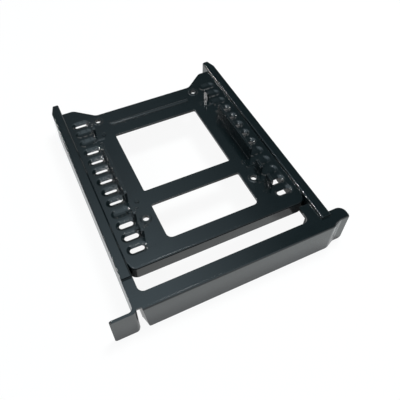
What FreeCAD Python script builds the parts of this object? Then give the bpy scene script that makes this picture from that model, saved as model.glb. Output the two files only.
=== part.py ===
import FreeCAD, Part
import math
import os

os.makedirs("parts", exist_ok=True)

# Drive bracket: a one-piece moulded tray for a 2.5-inch drive.
# Millimetres. Origin at the centre of the drive's four screw holes, on the tray's top.
# +X to the right, the front plate faces -Y, +Z up.

V = FreeCAD.Vector

# Tray panel
SHEET = 1.5
PANEL_SIDE = 48.4
PANEL_BACK = 43.9
BACK_BAY_HALF = 30.4
SHOULDER_X = 41.6
SHOULDER_BACK = 53.2
SHOULDER_ROUND = 4.5
SEAT_IN = 0.5

# Down-turned front lip of the tray
LIP_FRONT = -62.7
LIP_DEPTH = 8.6
LIP_BEND = 1.1
LIP_CORNER = 4.2
LIP_SEAT = 0.8

# Windows in the tray
WINDOW_HALF = 25.3
BIG_FRONT = -21.6
BIG_BACK = 23.9
SMALL_FRONT = -53.8
SMALL_BACK = -31.2
WINDOW_ROUND = 0.9
SMALL_FRONT_ROUND = 3.0

# Side rails, each an upside-down channel
RAIL_WIDTH = 5.5
RAIL_TOP = 1.4
RAIL_BACK = 60.8
RAIL_SKIN = 1.4
RAIL_INNER_DEPTH = 12.2
RAIL_EDGE = 0.9
RAIL_OUTER_EDGE = 0.5
RAIL_LEAD_X = 2.2
RAIL_LEAD_Y = 6.5
STEP_LEFT = -65.5
STEP_RIGHT = -76.2
ARM_WALL_BACK = -65.5
ARM_WALL_END = -77.0

# Front bar and front plate
BAR_BACK = -74.5
BAR_CORNER = 3.0
PLATE_FRONT = -82.7
PLATE_LEFT = -48.3
PLATE_LEFT_TAPER = 1.7
PLATE_DEPTH = 20.5
PLATE_BEND = 1.3
PLATE_CORNER = 1.2

# Left ear
EAR_FRONT = -82.9
EAR_TIP = -65.4
EAR_SKIN = 1.4
EAR_BEND = 2.4
EAR_CORNER = 1.5
NOTCH_BACK = -81.2

# Right shoulder tab, with the plate stepped back below it
TAB_REACH = 8.8
TAB_BACK = -73.5
TAB_BACK_ROUND = 4.0
FLANGE_SET_BACK = 2.4
FLANGE_ROUND = 1.8
JOG_NEAR = 1.4
JOG_FAR = 3.8
JOG_ROUND = 4.5

# Rows of countersunk slots beside the drive
SLOT_X = 41.0
SLOT_FIRST = 40.1
SLOT_PITCH = 7.7
SLOT_LENGTH = 7.4
SLOT_WIDTH = 2.8
SLOT_COUNT = 13
BLIND_LEFT = (1, 2, 9)
BLIND_RIGHT = (0, 1, 2, 8, 9, 10)
CUP_END = 1.7
CUP_SIDE = 1.9
CUP_DEPTH = 1.15
BLIND_DEPTH = 0.8

# Drive guides and screw holes
FENCE_INNER = 35.2
FENCE_SKIN = 1.2
FENCE_HEIGHT = 8.6
FENCE_FRONT = -25.2
FENCE_BACK = 13.4
FENCE_ROUND = 1.2
LUG_BACK_Y = 29.4
LUG_MID_Y = -34.5
LUG_FRONT_Y = -45.3
LUG_BACK_WIDTH = 4.6
LUG_WIDTH = 5.6
LUG_HEIGHT = 6.2
HOLE_SPACING_X = 61.72
HOLE_SPACING_Y = 76.6
HOLE_R = 1.7
PAD_R = 3.1
PAD_SLOPE = 0.4
PAD_HEIGHT = 0.6
STUD_X = 31.2
STUD_BACK_Y = 26.6
STUD_FRONT_Y = -26.2
STUD_R = 1.15
SILL_LEFT = 31.6
SILL_RIGHT = 38.2
SILL_WIDTH = 1.1
SILL_CREST = 0.5
SILL_BACK_Y = 23.6
SILL_MID_Y = -30.2
SILL_FRONT_Y = -42.2

# Bead behind the big window
BEAD_Y = 33.0
BEAD_HALF = 24.6
BEAD_WIDTH = 2.2
BEAD_HEIGHT = 1.0

RAIL_OUTER = PANEL_SIDE + RAIL_WIDTH
RAIL_INNER_BOTTOM = -RAIL_INNER_DEPTH
PLATE_BOTTOM = -PLATE_DEPTH
LIP_BOTTOM = -LIP_DEPTH
FLANGE_FRONT = PLATE_FRONT + FLANGE_SET_BACK
TAB_TIP = RAIL_OUTER + TAB_REACH


# A closed outline from (x, y, corner radius) points
def outline(corners, level):
    count = len(corners)
    joints = []
    for i, (x, y, radius) in enumerate(corners):
        here = V(x, y, level)
        if radius <= 0:
            joints.append((here, None, here))
            continue
        before = V(corners[i - 1][0], corners[i - 1][1], level)
        after = V(corners[(i + 1) % count][0], corners[(i + 1) % count][1], level)
        u = (before - here).normalize()
        w = (after - here).normalize()
        half = u.getAngle(w) / 2
        reach = radius / math.tan(half)
        middle = (u + w).normalize()
        centre = here + middle * (radius / math.sin(half))
        joints.append((here + u * reach, centre - middle * radius, here + w * reach))
    edges = []
    for i in range(count):
        start, mid, end = joints[i]
        if mid is not None:
            edges.append(Part.Arc(start, mid, end).toShape())
        following = joints[(i + 1) % count][0]
        if (following - end).Length > 1e-6:
            edges.append(Part.LineSegment(end, following).toShape())
    return Part.Wire(edges)


# Upright prism over an (x, y) outline
def prism(corners, low, high):
    return Part.Face(outline(corners, low)).extrude(V(0, 0, high - low))


# A (y, z) outline carried along X
def along_x(corners, left, right):
    shape = prism(corners, left, right)
    shape.Placement = FreeCAD.Placement(V(0, 0, 0), FreeCAD.Rotation(V(1, 1, 1), 120))
    return shape


# An (x, z) outline carried along Y
def along_y(corners, front, back):
    shape = prism(corners, -back, -front)
    shape.Placement = FreeCAD.Placement(V(0, 0, 0), FreeCAD.Rotation(V(1, 0, 0), 90))
    return shape


def box(x0, x1, y0, y1, z0, z1):
    return Part.makeBox(x1 - x0, y1 - y0, z1 - z0, V(x0, y0, z0))


def flipped(shape):
    return shape.mirror(V(0, 0, 0), V(1, 0, 0))


# Outline of a round-ended slot, long in X
def obround(x, y, length, width, level):
    r = width / 2
    a = length / 2 - r
    front = Part.LineSegment(V(x - a, y - r, level), V(x + a, y - r, level)).toShape()
    right = Part.Arc(V(x + a, y - r, level), V(x + a + r, y, level), V(x + a, y + r, level)).toShape()
    back = Part.LineSegment(V(x + a, y + r, level), V(x - a, y + r, level)).toShape()
    left = Part.Arc(V(x - a, y + r, level), V(x - a - r, y, level), V(x - a, y - r, level)).toShape()
    return Part.Wire([front, right, back, left])


# Tray panel with its waisted back edge
def panel():
    tuck = PANEL_SIDE + SEAT_IN
    start = LIP_FRONT + LIP_CORNER
    right = [(tuck, start, 0), (tuck, SHOULDER_BACK, 0),
             (SHOULDER_X, SHOULDER_BACK, SHOULDER_ROUND),
             (BACK_BAY_HALF, PANEL_BACK, SHOULDER_ROUND)]
    left = [(-x, y, r) for x, y, r in reversed(right)]
    return prism(right + left, -SHEET, 0)


# Lip outline drawn in by a skin
def lip_corners(skin):
    rear = LIP_FRONT + LIP_CORNER + LIP_SEAT + skin
    side = PANEL_SIDE - skin
    front = LIP_FRONT + skin
    r = LIP_CORNER - skin
    return [(-side, rear, 0), (-side, front, r), (side, front, r), (side, rear, 0)]


# Front edge of the tray, rounded over and turned down
def lip():
    outer = prism(lip_corners(0), LIP_BOTTOM, 0)
    rear = LIP_FRONT + LIP_CORNER + LIP_SEAT
    edges = [e for e in outer.Edges
             if e.BoundBox.ZMin > -0.01 and e.BoundBox.YMin < rear - 0.01]
    outer = outer.makeFillet(LIP_BEND, edges)
    return outer.cut(prism(lip_corners(SHEET), LIP_BOTTOM - SHEET, -SHEET))


# Channel section of a right-hand rail between two stations
def rail(front, back, top, edge):
    inner = PANEL_SIDE
    skin = RAIL_SKIN
    corners = [(inner, RAIL_INNER_BOTTOM, 0), (inner + skin, RAIL_INNER_BOTTOM, 0),
               (inner + skin, top - SHEET, 0), (RAIL_OUTER - skin, top - SHEET, 0),
               (RAIL_OUTER - skin, PLATE_BOTTOM, 0), (RAIL_OUTER, PLATE_BOTTOM, 0),
               (RAIL_OUTER, top, RAIL_OUTER_EDGE), (inner, top, edge)]
    return along_y(corners, front, back)


# Slanted lead-in at the outer back corner of a rail
def rail_lead():
    over = 2 * RAIL_LEAD_X
    slope = RAIL_LEAD_Y / RAIL_LEAD_X
    start = RAIL_OUTER - RAIL_LEAD_X
    top = RAIL_BACK + over * slope
    corners = [(start - over, top, 0), (RAIL_OUTER + over, RAIL_BACK - RAIL_LEAD_Y - over * slope, 0),
               (RAIL_OUTER + over, top, 0)]
    return prism(corners, PLATE_BOTTOM - SHEET, RAIL_TOP + SHEET)


# Front of the bar and tab, stepped back near its right end
def plate_corners(left, skin):
    lean = math.atan2(FLANGE_SET_BACK, JOG_NEAR + JOG_FAR)
    shift = skin * math.tan(lean / 2)
    near = RAIL_OUTER - JOG_NEAR - shift
    far = RAIL_OUTER + JOG_FAR - shift
    front = PLATE_FRONT + skin
    return [(left, front, 0), (near, front, JOG_ROUND), (far, FLANGE_FRONT + skin, JOG_ROUND)]


# Bar and tab across the front, folded down into the front plate
def front_plate():
    left = PLATE_LEFT - PLATE_LEFT_TAPER
    root = RAIL_OUTER - SEAT_IN
    plan = [(left, BAR_BACK, 0)] + plate_corners(left, 0)
    plan += [(TAB_TIP, FLANGE_FRONT, 0), (TAB_TIP, TAB_BACK, TAB_BACK_ROUND),
             (root, TAB_BACK, 0), (root, BAR_BACK, 0)]
    solid = prism(plan, PLATE_BOTTOM, 0)
    edges = [e for e in solid.Edges
             if e.BoundBox.ZMin > -0.01 and e.BoundBox.YMax < FLANGE_FRONT + 0.01]
    solid = solid.makeFillet(PLATE_BEND, edges)
    over = 2 * SHEET
    hollow = [(left - over, TAB_BACK + over, 0)] + plate_corners(left - over, SHEET)
    hollow += [(TAB_TIP + over, FLANGE_FRONT + SHEET, 0), (TAB_TIP + over, TAB_BACK + over, 0)]
    solid = solid.cut(prism(hollow, PLATE_BOTTOM - over, -SHEET))
    sight = [(PLATE_LEFT, PLATE_BOTTOM, PLATE_CORNER), (TAB_TIP, PLATE_BOTTOM, FLANGE_ROUND),
             (TAB_TIP, over, 0), (left, over, 0), (left, 0, 0)]
    return solid.common(along_y(sight, PLATE_FRONT - over, TAB_BACK + over))


# Rounded inside corner where the bar meets the right rail
def bar_corner():
    r = BAR_CORNER
    block = box(PANEL_SIDE - r, PANEL_SIDE + SEAT_IN, BAR_BACK - SEAT_IN, BAR_BACK + r, -SHEET, 0)
    return block.cut(Part.makeCylinder(r, 3 * SHEET, V(PANEL_SIDE - r, BAR_BACK + r, -2 * SHEET)))


# Left ear: the outer rail wall turned outwards at the front
def ear():
    inside = -RAIL_OUTER + EAR_SKIN
    plan = [(inside, STEP_LEFT, 0), (-RAIL_OUTER, STEP_LEFT, 0),
            (-RAIL_OUTER, EAR_FRONT + EAR_SKIN, EAR_BEND),
            (EAR_TIP, EAR_FRONT + EAR_SKIN, 0), (EAR_TIP, EAR_FRONT, 0),
            (inside, EAR_FRONT, EAR_BEND)]
    sight = along_y([(EAR_TIP, PLATE_BOTTOM, EAR_CORNER), (-PANEL_SIDE, PLATE_BOTTOM, 0),
                     (-PANEL_SIDE, 0, 0), (EAR_TIP, 0, EAR_CORNER)], EAR_FRONT - EAR_SKIN, STEP_LEFT)
    return prism(plan, PLATE_BOTTOM, 0).common(sight)


# Inner wall of a right-hand arm, as deep as the front plate
def arm_wall(front):
    return box(PANEL_SIDE, PANEL_SIDE + RAIL_SKIN, front, ARM_WALL_BACK, PLATE_BOTTOM, -SHEET / 2)


# Right arm beside the finger gap, from the raised rail to the plate
def right_arm():
    front = PLATE_FRONT + SHEET - SEAT_IN
    return [rail(front, STEP_RIGHT, 0, 0), arm_wall(front)]


# Left arm beside the finger gap, from the raised rail to the notch
def left_arm():
    whole = flipped(rail(NOTCH_BACK, STEP_LEFT, 0, 0))
    wall = box(-PANEL_SIDE - RAIL_SKIN - SEAT_IN, -PANEL_SIDE, NOTCH_BACK, ARM_WALL_END,
               RAIL_INNER_BOTTOM, -SHEET)
    return [whole.cut(wall), flipped(arm_wall(ARM_WALL_END))]


# Upright guide wall on the right of the drive
def guide(front, back, height):
    section = [(front, -SHEET, 0), (back, -SHEET, 0), (back, height, FENCE_ROUND), (front, height, FENCE_ROUND)]
    return along_x(section, FENCE_INNER, FENCE_INNER + FENCE_SKIN)


# What stands on the right half of the tray
def guides():
    found = [guide(FENCE_FRONT, FENCE_BACK, FENCE_HEIGHT)]
    for y, width in ((LUG_BACK_Y, LUG_BACK_WIDTH), (LUG_MID_Y, LUG_WIDTH), (LUG_FRONT_Y, LUG_WIDTH)):
        found.append(guide(y - width / 2, y + width / 2, LUG_HEIGHT))
    deep = SHEET / 2
    for y in (HOLE_SPACING_Y / 2, -HOLE_SPACING_Y / 2):
        low = V(HOLE_SPACING_X / 2, y, -deep)
        found.append(Part.makeCone(PAD_R + PAD_SLOPE, PAD_R - PAD_SLOPE, PAD_HEIGHT + deep, low))
    for y in (STUD_BACK_Y, STUD_FRONT_Y):
        low = V(STUD_X, y, -deep)
        found.append(Part.makeCylinder(STUD_R, PAD_HEIGHT + deep, low))
    for y in (SILL_BACK_Y, SILL_MID_Y, SILL_FRONT_Y):
        found.append(sill(y))
    return found


# Low ridge with sloped sides, across the foot of a guide
def sill(y):
    half = SILL_WIDTH / 2
    crest = SILL_CREST / 2
    section = [(y - half, -SHEET / 2, 0), (y + half, -SHEET / 2, 0), (y + half, 0, 0),
               (y + crest, PAD_HEIGHT, 0), (y - crest, PAD_HEIGHT, 0), (y - half, 0, 0)]
    return along_x(section, SILL_LEFT, SILL_RIGHT)


# Low rounded bead along X
def bead(y, left, right, width, height):
    half = width / 2
    r = min(half, height) * 0.9
    section = [(y - half, -SHEET / 2, 0), (y + half, -SHEET / 2, 0), (y + half, height, r), (y - half, height, r)]
    return along_x(section, left, right)


# Countersunk slots on one side of the tray: the cups, and what goes through
def slots(x, blind):
    cups = []
    through = []
    for place in range(SLOT_COUNT):
        y = SLOT_FIRST - place * SLOT_PITCH
        depth = BLIND_DEPTH if place in blind else CUP_DEPTH
        low = obround(x, y, SLOT_LENGTH, SLOT_WIDTH, -depth)
        high = obround(x, y, SLOT_LENGTH + 2 * CUP_END, SLOT_WIDTH + 2 * CUP_SIDE, 0)
        cups.append(Part.makeLoft([low, high], True, True))
        if place not in blind:
            floor = obround(x, y, SLOT_LENGTH, SLOT_WIDTH, -2 * SHEET)
            through.append(Part.Face(floor).extrude(V(0, 0, 2 * SHEET - CUP_DEPTH / 2)))
    return cups, through


def screw_holes():
    found = []
    for x in (HOLE_SPACING_X / 2, -HOLE_SPACING_X / 2):
        for y in (HOLE_SPACING_Y / 2, -HOLE_SPACING_Y / 2):
            found.append(Part.makeCylinder(HOLE_R, 4 * SHEET, V(x, y, -2 * SHEET)))
    return found


def windows():
    w = WINDOW_HALF
    r = WINDOW_ROUND
    big = [(-w, BIG_FRONT, r), (w, BIG_FRONT, r), (w, BIG_BACK, r), (-w, BIG_BACK, r)]
    small = [(-w, SMALL_FRONT, SMALL_FRONT_ROUND), (w, SMALL_FRONT, SMALL_FRONT_ROUND),
             (w, SMALL_BACK, r), (-w, SMALL_BACK, r)]
    return [prism(big, -2 * SHEET, SHEET), prism(small, -2 * SHEET, SHEET)]


# Assemble the one piece
lead = rail_lead()
right_rail = rail(STEP_RIGHT, RAIL_BACK, RAIL_TOP, RAIL_EDGE).cut(lead)
left_rail = flipped(rail(STEP_LEFT, RAIL_BACK, RAIL_TOP, RAIL_EDGE).cut(lead))
tray = panel().fuse(lip())
tray = tray.cut(Part.makeCompound(windows()))
right_cups, right_through = slots(SLOT_X, BLIND_RIGHT)
left_cups, left_through = slots(-SLOT_X, BLIND_LEFT)
tray = tray.cut(Part.makeCompound(right_cups + left_cups))
tray = tray.cut(Part.makeCompound(right_through + left_through))
stand = guides()
back_bead = bead(BEAD_Y, -BEAD_HALF, BEAD_HALF, BEAD_WIDTH, BEAD_HEIGHT)
tray = tray.multiFuse(stand + [flipped(s) for s in stand] + [back_bead])
tray = tray.cut(Part.makeCompound(screw_holes()))
bracket = tray.multiFuse([right_rail, left_rail, front_plate(), bar_corner(), flipped(bar_corner()), ear()]
                         + right_arm() + left_arm())
bracket = bracket.removeSplitter()
solids = bracket.Solids
print("solids", len(solids), "volume", round(bracket.Volume, 1), "valid", bracket.isValid())
print("box", bracket.BoundBox)
bracket = solids[0]
bracket.exportStep("parts/drive_bracket.step")
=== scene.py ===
import math
import bpy
import bmesh
from mathutils import Euler, Matrix, Vector


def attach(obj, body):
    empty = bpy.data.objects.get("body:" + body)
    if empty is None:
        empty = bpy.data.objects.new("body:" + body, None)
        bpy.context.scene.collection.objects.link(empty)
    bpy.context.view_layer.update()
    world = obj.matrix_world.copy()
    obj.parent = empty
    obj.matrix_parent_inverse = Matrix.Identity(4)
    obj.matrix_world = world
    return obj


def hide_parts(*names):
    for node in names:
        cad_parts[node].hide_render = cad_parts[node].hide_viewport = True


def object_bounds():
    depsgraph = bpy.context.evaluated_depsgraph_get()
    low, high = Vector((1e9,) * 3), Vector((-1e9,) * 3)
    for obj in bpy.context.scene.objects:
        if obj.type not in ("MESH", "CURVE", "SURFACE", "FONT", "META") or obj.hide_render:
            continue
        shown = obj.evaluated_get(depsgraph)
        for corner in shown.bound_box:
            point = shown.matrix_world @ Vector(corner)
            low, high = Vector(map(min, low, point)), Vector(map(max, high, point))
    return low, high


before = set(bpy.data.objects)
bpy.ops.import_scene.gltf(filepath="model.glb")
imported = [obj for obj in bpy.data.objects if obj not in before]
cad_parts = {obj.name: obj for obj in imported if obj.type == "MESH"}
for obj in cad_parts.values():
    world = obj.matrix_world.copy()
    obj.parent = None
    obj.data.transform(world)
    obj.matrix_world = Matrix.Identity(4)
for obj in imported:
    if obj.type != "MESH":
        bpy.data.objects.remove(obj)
cad_low, cad_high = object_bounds()
scene = bpy.context.scene
scene.view_settings.view_transform = "Standard"

# Welding and shading of the mesh. Lengths here and below are in metres
WELD = 0.000002
FLAT_ANGLE = math.radians(0.6)
SHARP_ANGLE = math.radians(26)
FLAT_WEIGHT = 100

# Flat web that closes the right end of the finger gap, level with the bar's top
WEB_LEFT = 0.0423
WEB_RIGHT = 0.0489
WEB_BACK = -0.0650
WEB_FRONT = -0.0750
BAR_BACK = -0.0745
WEB_ROUND = 0.003
WEB_STEPS = 8
SHEET = 0.0015

# End wall that closes the front plate beside the notch, tapered as the plate's end is
END_FRONT = -0.0820
END_BACK = -0.0765
END_TOP = -0.0010
END_LOW = -0.0204
END_OUTER_BACK = -0.0498
END_OUTER_TOP = -0.0499
END_OUTER_LOW = -0.0484
END_SKIN = 0.0014

# Slots beside the drive: the back ones are narrower than the front three
SLOT_X = 0.041
SLOT_FIRST_Y = 0.0401
SLOT_PITCH = 0.0077
SLOT_REACH_X = 0.0039
SLOT_REACH_Y = 0.0016
SLOT_LOW_Z = -0.0017
SLOT_HIGH_Z = -0.0005
NARROW_COUNT = 10
NARROW_X = 0.9
NARROW_Y = 0.62

# Plastic: its colours, the radius of its softened edges, and how near an edge wear shows
DEEP_BLACK = (0.0015, 0.0038, 0.0044, 1)
SOFT_BLACK = (0.0028, 0.0057, 0.0066, 1)
WORN_GREY = (0.022, 0.028, 0.031, 1)
PLASTIC_IOR = 1.5
EDGE_ROUND = 0.0003
EDGE_SAMPLES = 6
WEAR_ROUND = 0.0005
WEAR_SAMPLES = 4
WEAR_RANGE = (0.995, 0.9)

# Marks in the plastic: noise as scale per metre, detail and roughness, and the range it shows in
FLOW_NOISE = (34.0, 4.0, 0.55)
FLOW_RANGE = (0.3, 0.75)
RUB_NOISE = (420.0, 3.0, 0.6)
RUB_RANGE = (0.42, 0.66)
GLOSS_NOISE = (120.0, 3.0, 0.6)
GLOSS_RANGE = (0.25, 0.8)
HAIR_NOISE = (1.0, 1.0, 0.5)
HAIR_RANGE = (0.64, 0.72)
HAIR_SCALE = (60, 1600, 60)
HAIR_TURN = (0, 0, 0.5)
SPARK_NOISE = (2600.0, 2.0, 0.5)
SPARK_STRENGTH = 0.06
SPARK_DEPTH = 0.0001

# Roughness of the plain gloss, and what wear and hairlines add to it
GLOSS_ROUGH = (0.12, 0.19)
WEAR_ROUGH = 0.12
HAIR_ROUGH = 0.06

# Floor: half its side, its paper, and the share of white that the camera and the gloss see
FLOOR_Z = cad_low.z
FLOOR_HALF = 3.0
FLOOR_PAPER = (0.93, 0.93, 0.93, 1)
FLOOR_SEEN = 0.92
FLOOR_MIRRORED = 0.5
WHITE = (1, 1, 1, 1)

# Room light by direction: where each part of it fades, and from what to what
SKY = (0.74, 0.9, 1.0, 1)
NO_LIGHT = (0, 0, 0, 1)
FADE_TO_RIGHT = (0.14, 0.40, 1.0, 0.10)
FADE_TO_BACK = (0.42, 0.70, 1.0, 0.24)
DIM = (0.06, 0.07, 0.08, 1)
DIM_WAY = (-0.6, 0.8, 0.0)
DIM_RANGE = (0.5, 0.66)
HORIZON = (0.62, 0.62, 0.62, 1)
HORIZON_RANGE = (0.2, 0.5)
ROOM_STRENGTH = 1.6
ROOM_DIFFUSE_STRENGTH = 0.6

# Square lamps: overhead isn't mirrored, and the panes only draw streaks on the right rail's edge
OVERHEAD = {"place": (0.22, 0.06, 0.75), "aim": (0, -0.06, 0), "side": 0.2, "watts": 5.0}
OVERHEAD_TINT = (0.94, 1.0, 0.98)
GLINT = {"place": (0.084, -0.035, 0.69), "aim": (0, 0, 0), "side": 0.05, "watts": 0.25}
KEY = {"place": (-0.62, -0.42, 0.66), "aim": (0, 0, 0), "side": 0.25, "watts": 1.2}
PANES = [
    {"place": (-0.197, 0.528, 0.442), "aim": (0.048, 0.045, 0), "side": 0.03, "watts": 0.8},
    {"place": (-0.337, 0.262, 0.491), "aim": (0.048, -0.055, 0), "side": 0.014, "watts": 0.6},
    {"place": (-0.372, 0.208, 0.486), "aim": (0.048, -0.071, 0), "side": 0.014, "watts": 0.6},
]

# Camera at the photograph's place, found from the tray's straight edges
CAMERA_PLACE = (-0.064205, -0.16716, 0.190151)
CAMERA_PITCH = math.radians(36.837)
CAMERA_ROLL = math.radians(-0.431)
CAMERA_YAW = math.radians(-25.574)
FOCAL_PIXELS = 460.8165
PICTURE_PIXELS = 400
SENSOR_MM = 36.0
CLIP_NEAR = 0.01
CLIP_FAR = 20


# Short ways to add and join shader nodes in one tree
class Shader:
    # Places of the Mix node's factor and colours among its sockets
    MIX_FACTOR = 0
    MIX_FIRST = 6
    MIX_SECOND = 7
    MIX_RESULT = 2

    def __init__(self, tree):
        self.nodes = tree.nodes
        self.links = tree.links

    def add(self, kind, inputs=(), **settings):
        node = self.nodes.new("ShaderNode" + kind)
        for key, value in settings.items():
            setattr(node, key, value)
        for key, value in dict(inputs).items():
            if isinstance(value, bpy.types.NodeSocket):
                self.links.new(value, node.inputs[key])
            else:
                node.inputs[key].default_value = value
        return node

    def noise(self, where, scale, detail, rough):
        sizes = {"Vector": where, "Scale": scale, "Detail": detail, "Roughness": rough}
        return self.add("TexNoise", sizes).outputs["Fac"]

    def math(self, operation, first, second):
        return self.add("Math", {0: first, 1: second}, operation=operation).outputs["Value"]

    def dot(self, first, second):
        inputs = {0: first, 1: second}
        return self.add("VectorMath", inputs, operation="DOT_PRODUCT").outputs["Value"]

    def spread(self, value, low, high, to_low=0.0, to_high=1.0):
        inputs = {"Value": value, "From Min": low, "From Max": high}
        inputs.update({"To Min": to_low, "To Max": to_high})
        return self.add("MapRange", inputs).outputs["Result"]

    def blend(self, factor, first, second):
        inputs = {self.MIX_FACTOR: factor, self.MIX_FIRST: first, self.MIX_SECOND: second}
        return self.add("Mix", inputs, data_type="RGBA").outputs[self.MIX_RESULT]

    def rounded(self, radius, samples):
        return self.add("Bevel", {"Radius": radius}, samples=samples).outputs["Normal"]


# Gloss black moulded plastic: softened edges, fine spark texture, soft flow marks, hairlines, wear
def moulded_black():
    mat = bpy.data.materials.new("bracket_black")
    mat.use_nodes = True
    tree = Shader(mat.node_tree)
    surface = tree.nodes["Principled BSDF"]
    surface.inputs["IOR"].default_value = PLASTIC_IOR
    where = tree.add("TexCoord").outputs["Object"]

    flow = tree.spread(tree.noise(where, *FLOW_NOISE), *FLOW_RANGE)
    colour = tree.blend(flow, DEEP_BLACK, SOFT_BLACK)

    normal = tree.add("NewGeometry").outputs["Normal"]
    facing = tree.dot(normal, tree.rounded(WEAR_ROUND, WEAR_SAMPLES))
    edge = tree.spread(facing, *WEAR_RANGE)
    rubbed = tree.spread(tree.noise(where, *RUB_NOISE), *RUB_RANGE)
    wear = tree.math("MULTIPLY", edge, rubbed)
    colour = tree.blend(wear, colour, WORN_GREY)
    tree.links.new(colour, surface.inputs["Base Color"])

    gloss = tree.spread(tree.noise(where, *GLOSS_NOISE), *GLOSS_RANGE, *GLOSS_ROUGH)
    gloss = tree.math("ADD", gloss, tree.math("MULTIPLY", wear, WEAR_ROUGH))
    drawn = tree.add("Mapping", {"Vector": where, "Rotation": HAIR_TURN, "Scale": HAIR_SCALE})
    hairs = tree.spread(tree.noise(drawn.outputs["Vector"], *HAIR_NOISE), *HAIR_RANGE)
    gloss = tree.math("ADD", gloss, tree.math("MULTIPLY", hairs, HAIR_ROUGH))
    tree.links.new(gloss, surface.inputs["Roughness"])

    spark = {"Height": tree.noise(where, *SPARK_NOISE), "Strength": SPARK_STRENGTH}
    spark["Distance"] = SPARK_DEPTH
    spark["Normal"] = tree.rounded(EDGE_ROUND, EDGE_SAMPLES)
    tree.links.new(tree.add("Bump", spark).outputs["Normal"], surface.inputs["Normal"])
    return mat


def mesh_from(name, bm):
    mesh = bpy.data.meshes.new(name)
    bm.to_mesh(mesh)
    bm.free()
    return mesh


# The web beside the finger gap, with its rounded inside corner
def gap_web():
    outline = [(WEB_RIGHT, WEB_FRONT), (WEB_RIGHT, WEB_BACK), (WEB_LEFT, WEB_BACK)]
    for step in range(WEB_STEPS + 1):
        turn = -math.pi / 2 * step / WEB_STEPS
        outline.append((WEB_LEFT - WEB_ROUND + WEB_ROUND * math.cos(turn),
                        BAR_BACK + WEB_ROUND + WEB_ROUND * math.sin(turn)))
    outline.append((WEB_LEFT - WEB_ROUND, WEB_FRONT))
    bm = bmesh.new()
    top = bm.faces.new([bm.verts.new((x, y, 0.0)) for x, y in outline])
    grown = bmesh.ops.extrude_face_region(bm, geom=[top], use_keep_orig=True)
    for item in grown["geom"]:
        if isinstance(item, bmesh.types.BMVert):
            item.co.z = -SHEET
    bmesh.ops.recalc_face_normals(bm, faces=bm.faces)
    return mesh_from("gap_web", bm)


# The wall at the plate's left end, between a ring of corners at its front and one at its back
def end_wall():
    bm = bmesh.new()
    rings = []
    front = (END_FRONT, END_OUTER_TOP, END_OUTER_LOW)
    back = (END_BACK, END_OUTER_BACK, END_OUTER_BACK)
    for y, top_x, low_x in (front, back):
        corners = [(top_x, y, END_TOP), (top_x + END_SKIN, y, END_TOP),
                   (low_x + END_SKIN, y, END_LOW), (low_x, y, END_LOW)]
        rings.append([bm.verts.new(corner) for corner in corners])
    for ring in rings:
        bm.faces.new(ring)
    first, second = rings
    for i in range(len(first)):
        j = (i + 1) % len(first)
        bm.faces.new((first[i], first[j], second[j], second[i]))
    bmesh.ops.recalc_face_normals(bm, faces=bm.faces)
    bmesh.ops.triangulate(bm, faces=bm.faces)
    return mesh_from("end_wall", bm)


# One mesh from two that overlap
def fused(first, second):
    pair = [bpy.data.objects.new("fuse_part", mesh) for mesh in (first, second)]
    for part in pair:
        scene.collection.objects.link(part)
    join = pair[0].modifiers.new("join", "BOOLEAN")
    join.operation = "UNION"
    join.solver = "EXACT"
    join.object = pair[1]
    graph = bpy.context.evaluated_depsgraph_get()
    mesh = bpy.data.meshes.new_from_object(pair[0].evaluated_get(graph))
    for part in pair:
        bpy.data.objects.remove(part)
    return mesh


# Narrow the slots behind the front three
def narrow_slots(bm):
    for vert in bm.verts:
        x, y, z = vert.co
        place = round((SLOT_FIRST_Y - y) / SLOT_PITCH)
        side = math.copysign(SLOT_X, x)
        middle = SLOT_FIRST_Y - place * SLOT_PITCH
        in_slot = abs(x - side) < SLOT_REACH_X and abs(y - middle) < SLOT_REACH_Y
        if in_slot and 0 <= place < NARROW_COUNT and SLOT_LOW_Z < z < SLOT_HIGH_Z:
            vert.co.x = side + (x - side) * NARROW_X
            vert.co.y = middle + (y - middle) * NARROW_Y


# A finished copy of the bracket, with the added forms fused on and its flat faces shaded flat
def finished_bracket(node, mat):
    bm = bmesh.new()
    bm.from_mesh(node.data)
    bmesh.ops.remove_doubles(bm, verts=bm.verts, dist=WELD)
    narrow_slots(bm)
    mesh = fused(fused(mesh_from("welded", bm), gap_web()), end_wall())
    mesh.name = "bracket_finished"
    bm = bmesh.new()
    bm.from_mesh(mesh)
    bmesh.ops.remove_doubles(bm, verts=bm.verts, dist=WELD)
    bmesh.ops.dissolve_limit(bm, angle_limit=FLAT_ANGLE, verts=bm.verts, edges=bm.edges)
    bm.to_mesh(mesh)
    bm.free()
    mesh.materials.clear()
    mesh.materials.append(mat)
    piece = bpy.data.objects.new("bracket_finished", mesh)
    scene.collection.objects.link(piece)
    for poly in mesh.polygons:
        poly.use_smooth = True
    mesh.set_sharp_from_angle(angle=SHARP_ANGLE)
    flat = piece.modifiers.new("flat_faces", "WEIGHTED_NORMAL")
    flat.mode = "FACE_AREA"
    flat.weight = FLAT_WEIGHT
    flat.keep_sharp = True
    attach(piece, "root")
    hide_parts("drive_bracket")


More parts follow.
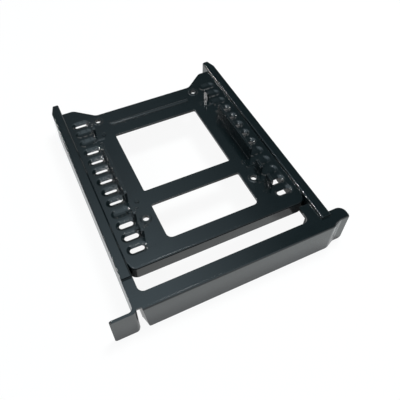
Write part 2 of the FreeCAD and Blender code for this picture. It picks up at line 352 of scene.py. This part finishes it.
# Pale floor: nearly white to the eye, half white in the gloss, with a faint shadow of the object
def pale_floor():
    mesh = bpy.data.meshes.new("floor")
    signs = [(-1, -1), (1, -1), (1, 1), (-1, 1)]
    corners = [(x * FLOOR_HALF, y * FLOOR_HALF, FLOOR_Z) for x, y in signs]
    mesh.from_pydata(corners, [], [(0, 1, 2, 3)])
    floor = bpy.data.objects.new("floor", mesh)
    scene.collection.objects.link(floor)
    mat = bpy.data.materials.new("floor_pale")
    mat.use_nodes = True
    tree = Shader(mat.node_tree)
    tree.nodes.remove(tree.nodes["Principled BSDF"])
    paper = tree.add("BsdfDiffuse", {"Color": FLOOR_PAPER})
    white = tree.add("Emission", {"Color": WHITE, "Strength": 1.0})
    path = tree.add("LightPath").outputs
    mirrored = tree.math("MAXIMUM", path["Is Glossy Ray"], path["Is Transmission Ray"])
    mirrored = tree.math("MULTIPLY", mirrored, FLOOR_MIRRORED)
    seen = tree.math("MULTIPLY", path["Is Camera Ray"], FLOOR_SEEN)
    share = tree.math("MAXIMUM", seen, mirrored)
    both = tree.add("MixShader", {0: share, 1: paper.outputs[0], 2: white.outputs[0]})
    tree.links.new(both.outputs[0], tree.nodes["Material Output"].inputs["Surface"])
    mesh.materials.append(mat)


def soft_light(name, place, aim, side, watts, colour=WHITE[:3]):
    lamp = bpy.data.lights.new(name, "AREA")
    lamp.shape = "SQUARE"
    lamp.size = side
    lamp.energy = watts
    lamp.color = colour
    obj = bpy.data.objects.new(name, lamp)
    scene.collection.objects.link(obj)
    obj.location = place
    obj.rotation_mode = "QUATERNION"
    obj.rotation_quaternion = (Vector(aim) - Vector(place)).to_track_quat("-Z", "Y")
    return obj


# Room light, bright from the left and the front and dim at the back left, over a pale horizon
def room_light():
    world = bpy.data.worlds.new("studio")
    scene.world = world
    world.use_nodes = True
    tree = Shader(world.node_tree)
    back = tree.nodes["Background"]
    towards = tree.add("TexCoord").outputs["Generated"]
    axes = tree.add("SeparateXYZ", {0: towards}).outputs
    from_left = tree.spread(axes["X"], *FADE_TO_RIGHT)
    from_front = tree.spread(axes["Y"], *FADE_TO_BACK)
    sky = tree.blend(tree.math("MULTIPLY", from_left, from_front), NO_LIGHT, SKY)
    sky = tree.blend(tree.spread(tree.dot(towards, DIM_WAY), *DIM_RANGE), sky, DIM)
    sky = tree.blend(tree.spread(axes["Z"], *HORIZON_RANGE), HORIZON, sky)
    tree.links.new(sky, back.inputs["Color"])
    diffuse = tree.add("LightPath").outputs["Is Diffuse Ray"]
    strength = tree.spread(diffuse, 0, 1, ROOM_STRENGTH, ROOM_DIFFUSE_STRENGTH)
    tree.links.new(strength, back.inputs["Strength"])


def lamps():
    soft_light("overhead", **OVERHEAD, colour=OVERHEAD_TINT).visible_glossy = False
    soft_light("glint", **GLINT)
    soft_light("key", **KEY)
    for pane in PANES:
        soft_light("pane", **pane).visible_diffuse = False


def photo_camera():
    data = bpy.data.cameras.new("photo")
    data.sensor_fit = "HORIZONTAL"
    data.sensor_width = SENSOR_MM
    data.lens = FOCAL_PIXELS / PICTURE_PIXELS * SENSOR_MM
    data.clip_start = CLIP_NEAR
    data.clip_end = CLIP_FAR
    cam = bpy.data.objects.new("photo", data)
    scene.collection.objects.link(cam)
    turn = Euler((CAMERA_PITCH, CAMERA_ROLL, CAMERA_YAW)).to_matrix()
    cam.matrix_world = Matrix.Translation(CAMERA_PLACE) @ turn.to_4x4()
    scene.camera = cam


finished_bracket(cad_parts["drive_bracket"], moulded_black())
pale_floor()
room_light()
lamps()
photo_camera()
bpy.context.view_layer.update()
